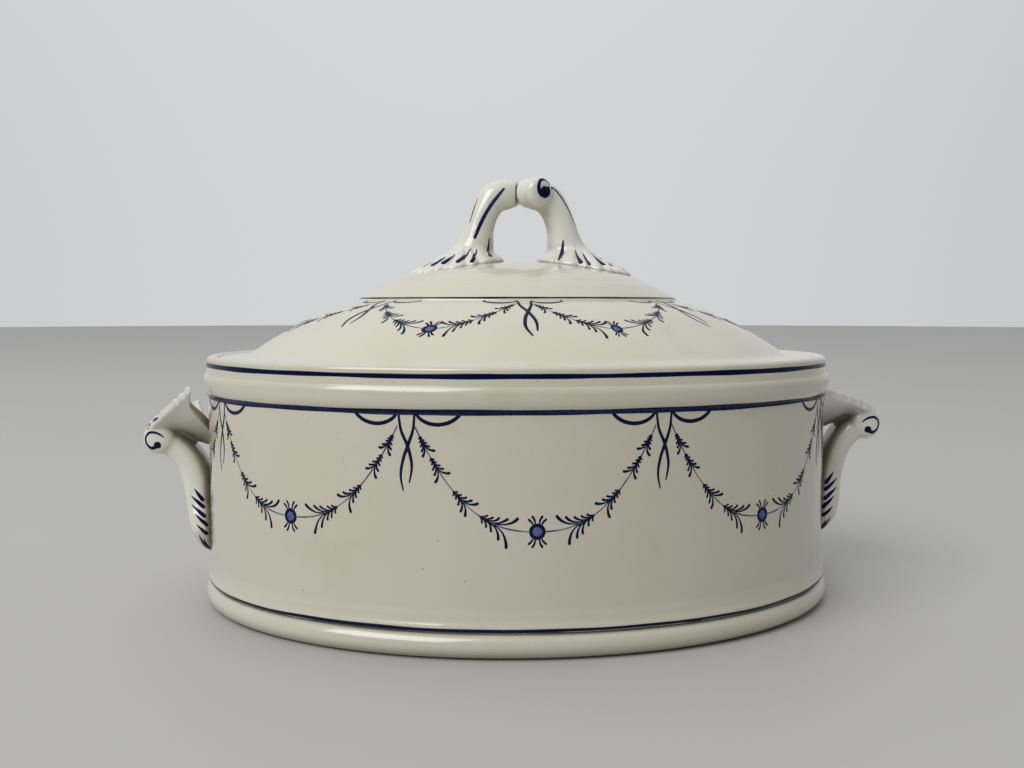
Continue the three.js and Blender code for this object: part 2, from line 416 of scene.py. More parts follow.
# x, y, z, half thickness, half width, turn
SIDE_LEG = (
    (127.5, 0, 16.5, 1.2, 3, 0),
    (128.9, 0, 21.5, 3.6, 10.5, 0),
    (130.6, 0, 28, 5.2, 14.6, 0),
    (131.7, 0, 34, 5.6, 14.2, 0),
    (132.8, 0, 40, 5.6, 12, 0),
    (134.9, 0, 49, 5.2, 9.6, 0),
    (138, 0, 57.8, 5.1, 9, 0),
    (142.8, 0, 64.4, 5.4, 9.2, 0),
    (147.6, 0, 68, 5.4, 9.4, 0),
)
LEAF_LOBES = 7


def fitted(height, fit):
    """The height of a point of the handle once it is fitted to the bowl."""
    root, top = SIDE_LEG[0][2], SCROLL["centre"][2]
    return height + fit["root"] + (fit["scroll"] - fit["root"]) * (height - root) / (top - root)


def side_leaf(fit):
    """The broad leaf from the wall (u = 0) to the scroll: a channel with rising, lobed wings."""

    def place(u, v, top):
        side = abs(2 * v - 1)
        tip, off = (fit[part][v < 0.5] for part in ("tips", "off"))
        lifted = min(1, max(0, (side - 0.1) / 0.65))
        back = 125.6 - 5.2 * side**2 + off * lifted**2 * (3 - 2 * lifted)
        lobe = math.cos(math.tau * LEAF_LOBES * u) * side**5 * (1 - 0.7 * u)
        wide = 27 + (10.2 - 27) * u**0.8 + 0.7 * lobe
        brow = 1.3 * fit["brow"] * u * (1 - u**5)
        middle = fitted(67 + (75.6 - 67) * u**0.8, fit) + brow
        wing_tip = tip + (fitted(75.6, fit) - tip) * u + brow
        rib = 0.3 * math.cos(math.pi * 5 * side) * (1 - u)
        height = middle + (wing_tip - middle) * side**0.9 + top * rib + fit["lobes"] * lobe
        thickness = 4.8 * (1 - 0.2 * side**2)
        return Vector((back + (151.5 - back) * u, wide * (2 * v - 1), height - (1 - top) * thickness))

    return slab(place, 56, 60)


def side_handle(fit):
    """Leg, scroll and leaf in one skin."""
    leg = []
    for x, y, z, thick, wide, turn in SIDE_LEG:
        heel = fit["heel"] / 2 * math.exp(-(((z - 53) / 8) ** 2))
        leg.append((x - heel, y, fitted(z, fit), thick + heel, wide, turn))
    x, y, z = SCROLL["centre"]
    scroll = roll((x, y, fitted(z, fit)), SCROLL["radius"], SCROLL["half_length"])
    return skinned(joined([bar(leg, 0.68), scroll, side_leaf(fit)]), voxel=0.6, rounds=7)


# ---- a branch of the lid's handle, on the +X side ----

LID_SCROLL = {"centre": (6.1, -4.9, 166.7), "radius": 6.3, "half_length": 6.4, "turn": 35}
BRANCH = (
    (22, 0, 136, 9, 11, 0),
    (19, 0, 144, 7.9, 8.6, 4),
    (17.3, 0.3, 152, 6.2, 7.4, 10),
    (14.8, 0.7, 159.4, 5.8, 6.7, 20),
    (10.8, 0.6, 164.9, 6.4, 6.3, 30),
    (5, -0.4, 166.5, 6.2, 6.2, 35),
    (-0.6, -2.4, 166.6, 4.4, 4.6, 35),
)
FOOT_CENTRE = 23

# The leg and foot of each branch were set a little to the right of their true place.
SHIFT = {"right": Vector((0.9, 0, 0)), "left": Vector((-0.9, 0, 0))}

# The foot's grooves, in degrees from outwards: on the -Y side, then on the +Y side.
FRONT_GROOVES = (-122, -91, -78, -60, -47, -35, -21, -7)
BACK_GROOVES = (146, 107, 90, 64, 46, 33, 20, 7)


def foot_reach(angle):
    return 19.6 + 3.9 * math.cos(angle)


def groove(angle):
    """How deep in a groove of the foot this angle is, from 0 to 1."""
    apart = [abs((math.degrees(angle) - g + 180) % 360 - 180) for g in FRONT_GROOVES + BACK_GROOVES]
    return math.exp(-((min(apart) / 4.8) ** 2))


def foot_point(share, angle):
    """A point on top of the leaf foot at a share of its reach, before its edge is lobed.

    It has a round edge, rises towards the middle, flares up to the leg and is grooved."""
    reach = share * foot_reach(angle)
    x, y = FOOT_CENTRE + reach * math.cos(angle), reach * math.sin(angle)
    edge = 1.9 * (1 - share**8) ** 0.5
    from_leg = max(0.7, math.hypot((x - 20) / 6.6, y / 8.6))
    flare = (3.1 + math.cos(angle)) * math.exp((1 - from_leg) / 0.6)
    start = min(1, max(0, (share - 0.22) / 0.45))
    relief = groove(angle) * 1.35 * start * (1 - share**10)
    height = max(0, edge + 4.2 * (1 - share) + flare - relief)
    return Vector((x, y, lid_top(math.hypot(x, y / INNER_RATIO)) + height))


def on_foot(x, y):
    """The point on top of the leaf foot at x, y."""
    angle = math.atan2(y, x - FOOT_CENTRE)
    return foot_point(math.hypot(x - FOOT_CENTRE, y) / foot_reach(angle), angle)


def branch_foot():
    """The leaf foot, lobed at its grooves and sunk a little into the lid."""
    angles = [math.tau * k / 240 for k in range(240)]

    def ring(share, sunk=None):
        points = []
        for angle in angles:
            top = foot_point(share, angle)
            lobed = 1.04 - 0.1 * groove(angle)
            x, y = FOOT_CENTRE + (top.x - FOOT_CENTRE) * lobed, top.y * lobed
            lid = lid_top(math.hypot(x, y / INNER_RATIO))
            over = top.z - lid_top(math.hypot(top.x, top.y / INNER_RATIO))
            points.append(Vector((x, y, lid + (over if sunk is None else sunk))))
        return points

    buried = [ring(share, sunk=-1.2) for share in (0.02, 0.5, 0.97)]
    shown = [ring(math.sin(math.pi / 2 * (1 - i / 30)) or 0.01) for i in range(30)]
    return closed_rings(buried + shown)


def cut_away(part, point, normal):
    """The part of a closed mesh behind an upright plane, with the cut closed."""
    points, faces = part
    bm = bmesh.new()
    made = [bm.verts.new(p) for p in points]
    for face in faces:
        bm.faces.new([made[i] for i in face])
    everything = bm.verts[:] + bm.edges[:] + bm.faces[:]
    bmesh.ops.bisect_plane(bm, geom=everything, plane_co=point, plane_no=normal, clear_outer=True)
    bmesh.ops.holes_fill(bm, edges=[e for e in bm.edges if e.is_boundary])
    bm.verts.index_update()
    kept = [v.co.copy() for v in bm.verts], [tuple(v.index for v in f.verts) for f in bm.faces]
    bm.free()
    return kept


def lid_branch(shift):
    """Leg, foot and scroll in one skin, cut where the branch meets the other one."""
    scroll = roll(**LID_SCROLL, valley=0.8)
    points, faces = joined([bar(BRANCH, 0.9), branch_foot()])
    whole = skinned(joined([([p + shift for p in points], faces), scroll]), voxel=0.5, rounds=3)
    parting = math.radians(-14)
    outwards = Vector((math.cos(parting), math.sin(parting), 0))
    half = cut_away(whole, outwards * 0.15, -outwards)
    return skinned(half, voxel=0.5, rounds=7)


def turned(point):
    """The point turned half way round the upright axis."""
    return Vector((-point.x, -point.y, point.z))


def build_handles(glaze):
    """The four handles. Returns the surface of each, in millimetres, to paint on."""
    surfaces = {}
    for side, move in (("right", Vector), ("left", turned)):
        for kind, (points, faces), body, node in (
            ("side_handle", side_handle(FITS[side]), "bowl", f"side_handle_{side}"),
            ("lid_handle", lid_branch(SHIFT[side]), "lid", f"lid_handle_{side}_branch"),
        ):
            placed = [move(p) for p in points]
            piece = add_piece(f"{kind}_{side}_body", placed, faces, body, glaze)
            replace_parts(piece, node)
            surfaces[kind, side] = BVHTree.FromPolygons(placed, faces)
    return surfaces


# ---- painting ----

# A stroke's section, from edge to edge: share of the half width, and height over the glaze.
SECTION = ((-1, -0.06), (-1, 0.02), (-0.6, 0.07), (0, 0.09), (0.6, 0.07), (1, 0.02), (1, -0.06))


class Paint:
    """Brush strokes gathered into one piece. load says how much colour the brush left, 0 to 1."""

    def __init__(self):
        self.points = []
        self.faces = []
        self.loads = []

    def add(self, points, faces, loads):
        start = len(self.points)
        self.points += points
        self.faces += [tuple(start + i for i in face) for face in faces]
        self.loads += loads

    def finish(self, name, body, slot, material):
        piece = add_piece(name, self.points, self.faces, body, material)
        load = piece.data.attributes.new("load", "FLOAT", "POINT")
        load.data.foreach_set("value", self.loads)
        return piece


def brush(paint, place, path, widths, load=(1, 1), steps=10):
    """Lays a stroke with round ends. place(x, y, lift) puts a point of the flat drawing on the clay."""
    line = [through(path, i / steps) for i in range(steps + 1)]
    length = sum((b - a).length for a, b in zip(line, line[1:]))
    rings, loads = [], []
    for i in range(steps + 1):
        t = 0.5 - 0.5 * math.cos(math.pi * i / steps)
        centre = through(path, t)
        along = through(path, min(1, t + 0.02)) - through(path, max(0, t - 0.02))
        across = Vector((-along.y, along.x)).normalized()
        half = through([(w, 0) for w in widths], t).x / 2
        from_end = min(t, 1 - t) * length / half
        if from_end < 1:
            half *= max(0.12, math.sqrt(1 - (1 - from_end) ** 2))
        rings.append([place(*(centre + across * half * share), lift) for share, lift in SECTION])
        left = load[0] + (load[1] - load[0]) * t
        loads += [left * (1 - 0.3 * share**2) for share, _ in SECTION]
    paint.add(*closed_rings(rings), loads)


def dab(paint, place, radius, load):
    """A round dab of paint, fuller in the middle."""
    sides = 24
    rings, loads = [], []
    for share, lift in ((1, -0.06), (1, 0.02), (0.75, 0.06), (0.4, 0.085), (0.08, 0.09)):
        reach = radius * share
        angles = [math.tau * k / sides for k in range(sides)]
        rings.append([place(reach * math.cos(a), reach * math.sin(a), lift) for a in angles])
        loads += [load * (0.85 + 0.15 * share)] * sides
    paint.add(*closed_rings(rings), loads)


# ---- painted grounds: turn counts swags from the front, depth goes down from the line ----

WALL_SWAGS = 8
WALL_LINE = 84.5
LID_SWAGS = 7
LID_LINE = TIER_EDGE + 0.5

# The lines round the bowl: height, width, how far they wander and how much paint.
BOWL_LINES = ((96.6, 1.75, 0.08, 0.95), (WALL_LINE, 1.95, 0.1, 1), (10.3, 1.9, 0.12, 0.9))

# The line at the edge of the lid's upper tier: the same, but with its depth instead of a height.
TIER_LINE = (-1.1, 0.9, 0.05, 0.95)

# The lid was shared out by eye: where each bow and flower came to, in degrees from the front.
LID_ANGLES = (
    (-3.5, -180), (-3, -158), (-2.5, -134), (-2, -110), (-1.5, -83), (-1, -50.5), (-0.5, -22.9),
    (0, -1), (0.5, 19.7), (1, 49), (1.5, 83), (2, 110), (2.5, 134), (3, 158), (3.5, 180),
)


def wall_ground(turn, depth):
    """A point of the bowl's wall. A flower hangs in the front at turn 0."""
    share = (turn / WALL_SWAGS) % 1
    angle = looked_up(WALL_LENGTHS, share * WALL_LENGTHS[-1][0])
    height = WALL_LINE - depth
    return on_oval(looked_up(OUTSIDE_BY_HEIGHT, height), angle, height)


def lid_ground(turn, depth):
    """A point of the lid. A bow hangs in the front at turn 0, and depth is along the half length."""
    around = (turn + LID_SWAGS / 2) % LID_SWAGS - LID_SWAGS / 2
    angle = math.radians(looked_up(LID_ANGLES, around) - 90)
    half_length = LID_LINE + depth
    return on_oval(half_length, angle, lid_top(half_length))


def drawing_at(ground, turn, depth, tilt=(1, 0)):
    """Where a flat drawing lands on the ground: x along tilt, y to its left, in millimetres."""
    here = ground(turn, depth)
    across = (ground(turn + 0.01, depth) - here).length / 0.01
    down = (ground(turn, depth + 4) - here).length / 4

    def place(x, y, lift):
        right = x * tilt[0] - y * tilt[1]
        up = x * tilt[1] + y * tilt[0]
        u, v = turn + right / across, depth - up / down
        point = ground(u, v)
        along = ground(u + 0.002, v) - point
        below = ground(u, v + 0.05) - point
        return point + below.cross(along).normalized() * lift

    return place


def band(paint, ground, swags, depth, width, sway, load):
    """A painted line all round, slightly uneven."""
    steps = 480
    rings, loads = [], []
    phase = random.uniform(0, math.tau)
    for i in range(steps + 1):
        turn = swags * (i % steps) / steps
        angle = math.tau * i / steps
        wander = math.sin(3 * angle + phase) + 0.5 * math.sin(11 * angle + 2 * phase)
        swell = 1 + 0.1 * math.sin(7 * angle + phase) + 0.06 * math.sin(23 * angle)
        half = width * swell / 2
        place = drawing_at(ground, turn, depth + sway * wander)
        rings.append([place(0, half * share, lift) for share, lift in SECTION])
        left = load * (0.95 + 0.05 * math.sin(5 * angle + phase))
        loads += [left * (1 - 0.25 * share**2) for share, _ in SECTION]
    points = [p for ring in rings for p in ring]
    paint.add(points, grid_faces(len(rings), len(SECTION), wrap=True), loads)


# ---- the garlands ----

# The flower of each garland, painted by hand: how far it is aside of the middle, in turns, and how
# deep it hangs.
WALL_FLOWERS = (
    (0, 40.2), (0, 40.2), (0.01, 39.7), (-0.01, 40.7), (0, 40), (0.01, 39.5), (-0.02, 40.4),
    (-0.02, 38.8),
)
LID_FLOWERS = ((0, 25.5),) * LID_SWAGS

# Where each sprig starts, as a share of the way from flower to bow, its stem and longest leaf.
WALL_SPRIGS = ((0.898, 3.8, 3.9), (0.812, 4.8, 4.4), (0.641, 5.4, 5.6), (0.441, 6.4, 8.7))
LID_SPRIGS = ((0.86, 4, 4), (0.66, 5, 5.4), (0.43, 6, 7.8))

# A leaf of length 1 beside its stem, and each leaf's place along the stem and length.
LEAF = ((0, 0), (0.4, 0.17), (0.66, 0.42), (0.77, 0.66))
LEAVES = ((0.02, 0.3), (0.22, 0.4), (0.45, 0.55), (0.7, 0.76), (0.97, 1))

# The stamens in the upper right quarter of a flower.
STAMENS = (((0.7, 2.6), (1.05, 4.2), (1.9, 5.5)), ((1.5, 2.4), (2.1, 3.4), (3.2, 4.4)))

# The right loop of a bow and its two tails, from the line.
BOW_LOOP = ((3, 0), (4.6, -2.1), (7.4, -3.7), (11, -4.2), (14.8, -3.4), (17.6, -1.6), (18.9, 0))
BOW_TAILS = (
    ((-2.8, 0), (-1.9, -6.2), (0.2, -11), (1.5, -15.6), (1.8, -19.4), (0.9, -24.2)),
    ((2.9, 0), (2.4, -5.8), (0.6, -11.2), (-1.1, -15.8), (-2.1, -21.6), (-1.2, -27)),
)

# How the garlands of the bowl and the lid are painted: the turn of the first, how far over the line
# the ends of a string aim, how steeply it rises to them, and how wide the bows and flowers are.
GARLANDS = {
    "bowl": {
        "ground": wall_ground, "first": 0, "flowers": WALL_FLOWERS, "sprigs": WALL_SPRIGS,
        "over": 1.8, "power": 2.5, "spread": 1,
    },
    "lid": {
        "ground": lid_ground, "first": 0.5, "flowers": LID_FLOWERS, "sprigs": LID_SPRIGS,
        "over": 0, "power": 1.7, "spread": 0.77,
    },
}


class Garland:
    """A swag between the bows half a turn from its middle, with its flower hanging aside of that."""

    def __init__(self, style, middle, aside, drop):
        self.ground = style["ground"]
        self.middle = middle
        self.aside = aside
        self.drop = drop
        self.rise = drop + style["over"]
        self.power = style["power"]

    def hang(self, share, side):
        """Turn and depth of the string at a share of the way from the flower to a bow."""
        turn = self.middle + side * share / 2 + self.aside * (1 - share)
        return turn, self.drop - self.rise * share**self.power

    def step(self, share, side):
        """Millimetres right and up for a step along the string towards the flower."""
        turn, depth = self.hang(share, side)
        nearer, lower = self.hang(share - 0.01, side)
        here = self.ground(turn, depth)
        right = (self.ground(nearer, depth) - here).length * (-side)
        down = (self.ground(turn, lower) - here).length
        return right, -down

    def drawing(self, share, side):
        """A flat drawing that starts on the string with x towards the flower."""
        right, up = self.step(share, side)
        length = math.hypot(right, up)
        turn, depth = self.hang(share, side)
        return drawing_at(self.ground, turn, depth, (right / length, up / length))

    def string(self, paint, side):
        """The thin string on one side of the flower."""
        steps = 40
        rings, loads = [], []
        for i in range(steps + 1):
            share = 0.012 + 0.92 * i / steps
            place = self.drawing(share, side)
            half = 0.24 + 0.05 * math.sin(9 * share + side)
            rings.append([place(0, half * offset, lift * 0.6) for offset, lift in SECTION])
            loads += [0.5] * len(SECTION)
        paint.add(*closed_rings(rings), loads)

    def sprig(self, paint, share, side, stem, longest):
        """A stem along the string with pairs of leaves, longer towards the flower."""
        reach = math.hypot(*self.step(share, side)) / 0.01
        for along, length in LEAVES:
            place = self.drawing(share - along * stem / reach, side)
            for way in (1, -1):
                leaf = longest * length * random.uniform(0.9, 1.1)
                path = [(x * leaf, way * y * leaf * random.uniform(0.9, 1.12)) for x, y in LEAF]
                tip = 0.5 + 0.45 * length + 0.02 * longest
                brush(paint, place, path, (0.4, 0.6, tip * 0.9, tip), load=(0.9, 1))
        line = [(x * stem, 0) for x in (0, 0.35, 0.7, 1.05)]
        brush(paint, self.drawing(share, side), line, (0.5, 0.8, 0.8, 0.5), load=(0.9, 0.9))

    def flower(self, ring, centre, size):
        """A ring filled with thin paint, and stamens over and under it."""
        place = drawing_at(self.ground, self.middle + self.aside, self.drop)
        angles = [math.tau * k / 16 for k in range(18)]
        circle = [(2.2 * size * math.cos(a), 2.2 * size * math.sin(a)) for a in angles]
        brush(ring, place, circle, (1.25, 1.35, 1.2, 1.3), steps=36)
        dab(centre, place, 1.8 * size, load=0.35)
        for stamen in STAMENS:
            for right in (1, -1):
                for up in (1, -1):
                    path = [(x * right * size, y * up * size) for x, y in stamen]
                    brush(ring, place, path, (0.55, 0.75, 0.85), load=(0.85, 1))


def bow(paint, ground, turn, spread):
    """A bow tied to the line: a loop each way and two tails that cross. A narrow one leans right."""
    place = drawing_at(ground, turn, 0)
    size = 0.4 + 0.6 * spread
    lean = 11 * (1 - spread)
    for side in (1, -1):
        loop = [(x * side * spread, y * spread**1.5) for x, y in BOW_LOOP]
        brush(paint, place, loop, (1, 1.3, 1.35, 1.1), load=(1, 0.95), steps=20)
    for tail in BOW_TAILS:
        path = [(x * size + lean * (y / 27) ** 2, y * size) for x, y in tail]
        brush(paint, place, path, (0.8, 1, 1.2, 1.1, 0.9, 0.5), load=(1, 0.85), steps=24)


def paint_garlands(body, cobalt, string):
    """All the garlands and bows of the bowl or the lid: a piece each for strings, sprigs and so on."""
    style = GARLANDS[body]
    kinds = {kind: Paint() for kind in ("strings", "sprigs", "flowers", "flower_hearts", "bows")}
    for k, (aside, drop) in enumerate(style["flowers"]):
        middle = style["first"] + k
        garland = Garland(style, middle, aside, drop)
        for side in (1, -1):
            garland.string(kinds["strings"], side)
            for share, stem, longest in style["sprigs"]:
                garland.sprig(kinds["sprigs"], share, side, stem, longest)
        garland.flower(kinds["flowers"], kinds["flower_hearts"], style["spread"] ** 0.5)
        bow(kinds["bows"], style["ground"], middle + 0.5, style["spread"])
    for kind, paint in kinds.items():
        material = string if kind == "strings" else cobalt
        paint.finish(f"{body}_garland_{kind}", body, body + "_glaze", material)


# ---- painting on the handles ----


def on_surface(tree, path, steps):
    """Points and normals of a surface nearest to a smooth path."""
    found = []
    for i in range(steps + 1):
        t = 0.5 - 0.5 * math.cos(math.pi * i / steps)
        point, normal, *_ = tree.find_nearest(through(path, t))
        found.append((point, normal))
    return found


def surface_brush(paint, tree, path, widths, load=(1, 1), steps=14):
    """Lays a stroke along a path in space, on the nearest surface."""
    line = on_surface(tree, path, steps)
    length = sum((b[0] - a[0]).length for a, b in zip(line, line[1:]))
    rings, loads = [], []
    gone = 0
    for i, (centre, normal) in enumerate(line):
        before, after = line[max(0, i - 1)][0], line[min(steps, i + 1)][0]
        gone += (centre - before).length
        across = normal.cross(after - before).normalized()
        t = gone / length
        half = through([(w, 0) for w in widths], min(1, t)).x / 2
        from_end = min(gone, length - gone) / half
        if from_end < 1:
            half *= max(0.12, math.sqrt(1 - (1 - max(0, from_end)) ** 2))
        ring = []
        for share, lift in SECTION:
            point, facing, *_ = tree.find_nearest(centre + across * half * share)
            ring.append(point + facing * lift)
        rings.append(ring)
        left = load[0] + (load[1] - load[0]) * t
        loads += [left * (1 - 0.3 * share**2) for share, _ in SECTION]
    paint.add(*closed_rings(rings), loads)


def surface_dab(paint, tree, centre, radius, load):
    """Lays a round dab on the surface nearest to the centre."""
    point, normal, *_ = tree.find_nearest(centre)
    right = normal.orthogonal().normalized()
    up = normal.cross(right)

    def place(x, y, lift):
        spot, facing, *_ = tree.find_nearest(point + right * x + up * y)
        return spot + facing * lift

    dab(paint, place, radius, load)


# The -Y side of the +X handle. The spiral is (outwards, up) from the middle of the scroll.
SIDE_SPIRAL = (
    (-2.7, 0.8), (-0.4, 2.5), (2.5, 3.1), (4.9, 2), (5.7, -0.3), (5, -2.8), (2.8, -4.3), (0.5, -3.3),
)
SIDE_HEART = (0, -2.6)
SIDE_DASHES = (((153, -9.6, 72.5), (150.6, -10.6, 75.2)), ((149.4, -11.5, 76), (146.6, -12.6, 78)))
ROOT_STROKES = (
    ((133.8, -10.2, 46.4), (130, -10.8, 40.9)),
    ((135, -10.6, 43.4), (129.4, -11.8, 38)),
    ((134.6, -11.6, 39.7), (128.8, -13.2, 34.2)),
    ((132.8, -13.2, 35.8), (128.2, -13.4, 30.4)),
    ((132, -14, 31.4), (128, -13.2, 26.8)),
    ((131.4, -13.8, 27), (128.8, -7, 18.8)),
    ((130, -12, 25.6), (129, -6.6, 19.6)),
)


def paint_side_handle(tree, side, material):
    paint = Paint()
    fit = FITS[side]
    x, _, z = SCROLL["centre"]
    face = -SCROLL["half_length"]

    def put(points, mirror):
        """The points on this handle, mirrored front to back where mirror is -1."""
        placed = [Vector((px, mirror * py, fitted(pz, fit))) for px, py, pz in points]
        return placed if side == "right" else [turned(p) for p in placed]

    for mirror in (1, -1):
        spiral = put([(x + right, face, z + up) for right, up in SIDE_SPIRAL], mirror)
        surface_brush(paint, tree, spiral, (0.5, 1, 1.1, 1.1, 1.4, 1.7), load=(0.7, 0.95), steps=44)
        heart = put([(x + SIDE_HEART[0], face, z + SIDE_HEART[1])], mirror)
        surface_dab(paint, tree, heart[0], 1.5, 0.95)
        for dash in SIDE_DASHES if side == "left" else ():
            surface_brush(paint, tree, put(dash, mirror), (0.7, 1, 0.5), load=(0.5, 0.6))
        for stroke in ROOT_STROKES:
            widths = (0.25, 1, 1.5, 1.7)
            surface_brush(paint, tree, put(stroke, mirror), widths, load=(0.75, 0.95))
    paint.finish(f"side_handle_{side}_painting", "bowl", "side_handle_glaze", material)


# The +X branch. The spiral is (right, up) on the end of its roll.
EYE_SPIRAL = (
    (4.6, 3.6), (2.8, 5.4), (0.6, 5.7), (-1.4, 4.6), (-2.4, 2.1), (-1.8, -0.5), (0.6, -1.5),
    (2.9, -0.5), (3.2, 1.3), (2.1, 2.1),
)
EYE_BLOB = (0.7, 0.3)
EDGE_LINE = (
    (12.4, -6, 172), (15, -5, 168.8), (17.8, -4.6, 164.6), (20.3, -4.2, 159.4), (23.2, -3.8, 153),
)
FRONT_TOE = ((17.3, -7.7, 147), (17, -7.9, 143.6), (16.4, -9.8, 140.8), (15.4, -14.4, 138.2))
BACK_TOE = ((13.8, 5.5, 148), (13.7, 6.3, 145), (13.7, 7.8, 141.6), (13.7, 12.2, 138.1))
LEG_STROKE = (
    (6.9, 6.6, 168.6), (9.7, 7.2, 165), (13.2, 7.3, 160.4), (16.4, 7.5, 154.8), (19.6, 8, 147.4),
)
OUTER_STROKE = ((16.8, 3, 163.8), (19, 4, 159), (21.2, 4.9, 154))
FOOT_STROKES = (
    ((22, -10), (23.5, -18.6)), ((25.2, -10.4), (26.8, -18.7)), ((28.7, -6.5), (33.4, -15.6)),
    ((32.4, -6), (37.6, -12.8)), ((37, -8), (43.4, -6.6)), ((18.6, 9.4), (20.9, 18.8)),
    ((21, 9.3), (26.9, 19)), ((27.4, 9.5), (33, 16)), ((31.3, 7.9), (37.6, 12.6)),
    ((36.4, 6.6), (41.2, 8.6)), ((37.4, 3), (43.8, 3.4)), ((37, -1.2), (44.4, -1.8)),
)


def paint_lid_branch(tree, side, material):
    paint = Paint()

    def put(point):
        return Vector(point) if side == "right" else turned(Vector(point))

    def put_leg(points):
        return [put(Vector(p) + SHIFT[side]) for p in points]

    turn = math.radians(LID_SCROLL["turn"])
    outwards = Vector((math.sin(turn), -math.cos(turn), 0))
    eye = Vector(LID_SCROLL["centre"]) + outwards * LID_SCROLL["half_length"]
    rightwards = Vector((math.cos(turn), math.sin(turn), 0))
    spiral = [put(eye + rightwards * right + Vector((0, 0, up))) for right, up in EYE_SPIRAL]
    widths = (0.7, 1.1, 1.3, 1.5, 2, 2.4, 2.5, 1.9, 1)
    surface_brush(paint, tree, spiral, widths, load=(0.7, 0.95), steps=44)
    blob = eye + rightwards * EYE_BLOB[0] + Vector((0, 0, EYE_BLOB[1]))
    surface_dab(paint, tree, put(blob), 2, 0.9)
    surface_brush(paint, tree, put_leg(EDGE_LINE), (1.1, 0.9, 0.8, 0.6), load=(0.95, 0.6), steps=28)
    surface_brush(paint, tree, put_leg(LEG_STROKE), (1, 1.5, 1.6, 1.6, 1.2), load=(0.55, 0.8), steps=28)
    surface_brush(paint, tree, put_leg(OUTER_STROKE), (0.5, 0.8, 0.5), load=(0.6, 0.7), steps=16)
    for toe in (FRONT_TOE, BACK_TOE):
        surface_brush(paint, tree, put_leg(toe), (0.6, 1.8, 2.4), load=(0.65, 0.95), steps=20)
    for start, end in FOOT_STROKES:
        path = put_leg(on_foot(*Vector(start).lerp(Vector(end), share)) for share in (0, 0.5, 1))
        surface_brush(paint, tree, path, (0.5, 1.6, 2.2), load=(0.6, 0.95), steps=16)
    paint.finish(f"lid_handle_{side}_painting", "lid", "lid_handle_glaze", material)


# ---- materials ----


class Nodes:
    """A short way to build the nodes of a material or a world."""

    def __init__(self, owner, shader="Principled BSDF"):
        owner.use_nodes = True
        self.owner = owner
        self.tree = owner.node_tree
        self.shader = self.tree.nodes[shader]

    def add(self, kind, inputs=(), **settings):
        node = self.tree.nodes.new(kind)
        for key, value in settings.items():
            setattr(node, key, value)
        for key, value in dict(inputs).items():
            self.feed(node.inputs[key], value)
        return node

    def feed(self, socket, value):
        if isinstance(value, bpy.types.NodeSocket):
            self.tree.links.new(value, socket)
        else:
            socket.default_value = value

    def maths(self, operation, a, b=0.0, clamp=False):
        node = self.add("ShaderNodeMath", {0: a, 1: b}, operation=operation, use_clamp=clamp)
        return node.outputs[0]

    def mix(self, factor, a, b):
        return self.add("ShaderNodeMix", {0: factor, 6: a, 7: b}, data_type="RGBA").outputs[2]

    def ramp(self, value, low, high):
        """0 below low, 1 above high, smooth between."""
        inputs = {0: value, 1: low, 2: high}
        return self.add("ShaderNodeMapRange", inputs, interpolation_type="SMOOTHSTEP").outputs[0]

    def noise(self, where, scale, detail=2.0, output=0):
        inputs = {"Vector": where, "Scale": scale, "Detail": detail}
        return self.add("ShaderNodeTexNoise", inputs).outputs[output]


def gloss(nodes, bump_height, rough, shine):
    """A clear glaze over the colour, with soft waves in it."""
    bump = nodes.add("ShaderNodeBump", {"Height": bump_height, "Strength": 0.35, "Distance": 0.0006})
    nodes.feed(nodes.shader.inputs["Normal"], bump.outputs[0])
    nodes.feed(nodes.shader.inputs["Roughness"], rough)
    nodes.shader.inputs["IOR"].default_value = 1.52
    nodes.shader.inputs["Specular IOR Level"].default_value = 0.5 * shine
    nodes.shader.inputs["Coat Weight"].default_value = 0.7 * shine
    nodes.shader.inputs["Coat Roughness"].default_value = 0.06


# Each cream glaze's lighter colour, and the warmer one that it mottles to.
BOWL_CREAM = ((0.66, 0.635, 0.535, 1), (0.64, 0.6, 0.48, 1))
LID_CREAM = ((0.7, 0.68, 0.565, 1), (0.67, 0.635, 0.5, 1))
# The handles' cream is lighter than the bowl's: partly a whiter glaze and partly painted light that
# makes up for the shade the handles get.
HANDLE_CREAM_AND_LIGHT = ((0.84, 0.83, 0.765, 1), (0.79, 0.77, 0.675, 1))


def mottled(nodes, where, light, warm):
    """The two colours in soft patches, with a few stains."""
    mottle = nodes.ramp(nodes.noise(where, 14, 3.0), 0.35, 0.65)
    colour = nodes.mix(nodes.maths("MULTIPLY", mottle, 0.6), light, warm)
    stain = nodes.ramp(nodes.noise(where, 42, 4.0), 0.56, 0.78)
    return nodes.mix(nodes.maths("MULTIPLY", stain, 0.3), colour, (0.56, 0.5, 0.36, 1))


def specks(nodes, where):
    """Strong in small dots, in about one cell in ten."""
    cells = nodes.add("ShaderNodeTexVoronoi", {"Vector": where, "Scale": 210, "Randomness": 1.0})
    chance = nodes.add("ShaderNodeSeparateColor", {0: cells.outputs["Color"]}).outputs[0]
    chosen = nodes.ramp(chance, 0.9, 0.92)
    dot = nodes.ramp(cells.outputs["Distance"], 0.09, 0.035)
    return nodes.maths("MULTIPLY", nodes.maths("MULTIPLY", chosen, dot), 0.75)


def crazing(nodes, where):
    """Weak along a net of fine cracks, and only in patches."""
    sway = {0: nodes.noise(where, 60, output="Color"), "Scale": 0.006}
    bend = nodes.add("ShaderNodeVectorMath", sway, operation="SCALE").outputs[0]
    bent = nodes.add("ShaderNodeVectorMath", {0: where, 1: bend}, operation="ADD").outputs[0]
    net = {"Vector": bent, "Scale": 130}
    cracks = nodes.add("ShaderNodeTexVoronoi", net, feature="DISTANCE_TO_EDGE")
    crack = nodes.ramp(cracks.outputs["Distance"], 0.016, 0.0)
    crazed = nodes.ramp(nodes.noise(where, 22), 0.5, 0.7)
    return nodes.maths("MULTIPLY", nodes.maths("MULTIPLY", crack, crazed), 0.16)


